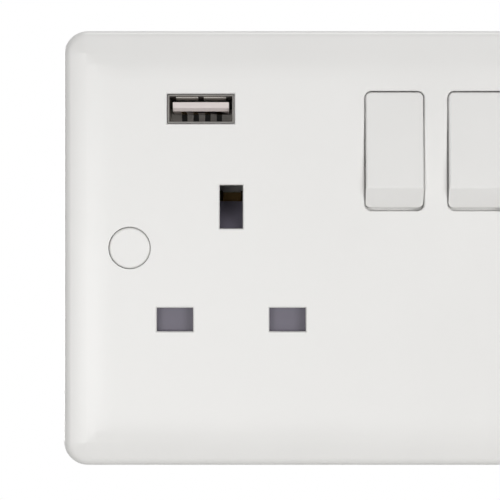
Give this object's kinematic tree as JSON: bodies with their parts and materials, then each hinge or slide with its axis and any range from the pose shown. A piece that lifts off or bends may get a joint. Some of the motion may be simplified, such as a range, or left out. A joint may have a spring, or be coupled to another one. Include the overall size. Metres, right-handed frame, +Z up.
{
  "type": "usb wall socket",
  "caption": "Switched wall socket plate with shuttered flat-pin outlets, rocker switches and USB charging ports, with its moulded back, contacts and fixings.",
  "frame": {"origin": "centre of the plate's back rim, on the wall", "axes": "+X along the plate to the right as seen from the room, +Y into the wall, +Z up"},
  "size_m": [0.147, 0.0318, 0.086],
  "materials": {
    "white_urea": "glossy white moulding",
    "shutter_grey": "smooth blue-grey moulding",
    "brass": "bright stamped brass",
    "zinc_steel": "bright zinc plate",
    "spring_steel": "drawn spring wire",
    "port_shell": "nickel plated folded sheet",
    "port_insulator": "off-white moulding",
    "gold_contact": "gold flashed contact",
    "cover_moulding": "satin off-white moulding",
    "carrier_moulding": "pale grey moulding",
    "board": "green lacquered laminate",
    "ferrite": "dark sintered ferrite",
    "winding": "yellow tape over the winding",
    "component_dark": "dark sleeve or moulding",
    "component_blue": "blue coated case"
  },
  "bodies": {
    "housing": {"front_plate": "white_urea", "fixing_screws": "zinc_steel", "neutral_bar": "brass", "line_bar": "brass", "earth_bar": "brass", "contact_carrier": "carrier_moulding", "back_cover": "cover_moulding", "cover_screws": "zinc_steel", "terminal_screws": "zinc_steel", "terminal_line": "brass", "terminal_neutral": "brass", "terminal_earth": "brass", "usb_board": "board", "transformer_core": "ferrite", "transformer_winding": "winding", "mains_links": "zinc_steel", "input_capacitor": "component_dark", "output_capacitor": "component_dark", "film_capacitor": "component_blue", "fuse": "component_dark", "controller_chip": "component_dark", "screw_cap_left": "white_urea", "line_clip_left": "brass", "shutter_spring_left": "spring_steel", "usb_shell_left": "port_shell", "usb_insulator_left": "port_insulator", "usb_contacts_left": "gold_contact", "screw_cap_right": "white_urea", "line_clip_right": "brass", "shutter_spring_right": "spring_steel", "usb_shell_right": "port_shell", "usb_insulator_right": "port_insulator", "usb_contacts_right": "gold_contact"},
    "rocker_left": {"rocker_left": "white_urea", "plunger_spring_left": "spring_steel"},
    "plunger_left": {"plunger_left": "port_insulator"},
    "seesaw_left": {"seesaw_contact_left": "brass"},
    "shutter_left": {"shutter_left": "shutter_grey"},
    "rocker_right": {"rocker_right": "white_urea", "plunger_spring_right": "spring_steel"},
    "plunger_right": {"plunger_right": "port_insulator"},
    "seesaw_right": {"seesaw_contact_right": "brass"},
    "shutter_right": {"shutter_right": "shutter_grey"}
  },
  "joints": [
    {"name": "rocker_left_tilt", "type": "hinge", "parent": "housing", "child": "rocker_left", "pos_m": [-0.00817, -0.0044, 0.0191], "axis": [1, 0, 0], "range_deg": [0, 11]},
    {"name": "seesaw_left_tilt", "type": "hinge", "parent": "housing", "child": "seesaw_left", "pos_m": [-0.00817, 0.00385, 0.0191], "axis": [1, 0, 0], "range_deg": [-16, 0]},
    {"name": "plunger_left_slide", "type": "slide", "parent": "rocker_left", "child": "plunger_left", "axis": [0, -0.9954, 0.0958], "range_m": [0, 0.0006], "stiffness_N_per_m": 800, "springref_m": -0.001, "deforming": ["plunger_spring_left"]},
    {"name": "shutter_left_slide", "type": "slide", "parent": "housing", "child": "shutter_left", "axis": [0, 0, -1], "range_m": [0, 0.0052], "stiffness_N_per_m": 150, "springref_m": -0.004, "deforming": ["shutter_spring_left"]},
    {"name": "rocker_right_tilt", "type": "hinge", "parent": "housing", "child": "rocker_right", "pos_m": [0.00817, -0.0044, 0.0191], "axis": [1, 0, 0], "range_deg": [0, 11]},
    {"name": "seesaw_right_tilt", "type": "hinge", "parent": "housing", "child": "seesaw_right", "pos_m": [0.00817, 0.00385, 0.0191], "axis": [1, 0, 0], "range_deg": [-16, 0]},
    {"name": "plunger_right_slide", "type": "slide", "parent": "rocker_right", "child": "plunger_right", "axis": [0, -0.9954, 0.0958], "range_m": [0, 0.0006], "stiffness_N_per_m": 800, "springref_m": -0.001, "deforming": ["plunger_spring_right"]},
    {"name": "shutter_right_slide", "type": "slide", "parent": "housing", "child": "shutter_right", "axis": [0, 0, -1], "range_m": [0, 0.0052], "stiffness_N_per_m": 150, "springref_m": -0.004, "deforming": ["shutter_spring_right"]}
  ],
  "couplings": [
    {"joint": "seesaw_left_tilt", "follows": "rocker_left_tilt", "ratio": -1.4545},
    {"joint": "seesaw_right_tilt", "follows": "rocker_right_tilt", "ratio": -1.4545}
  ]
}
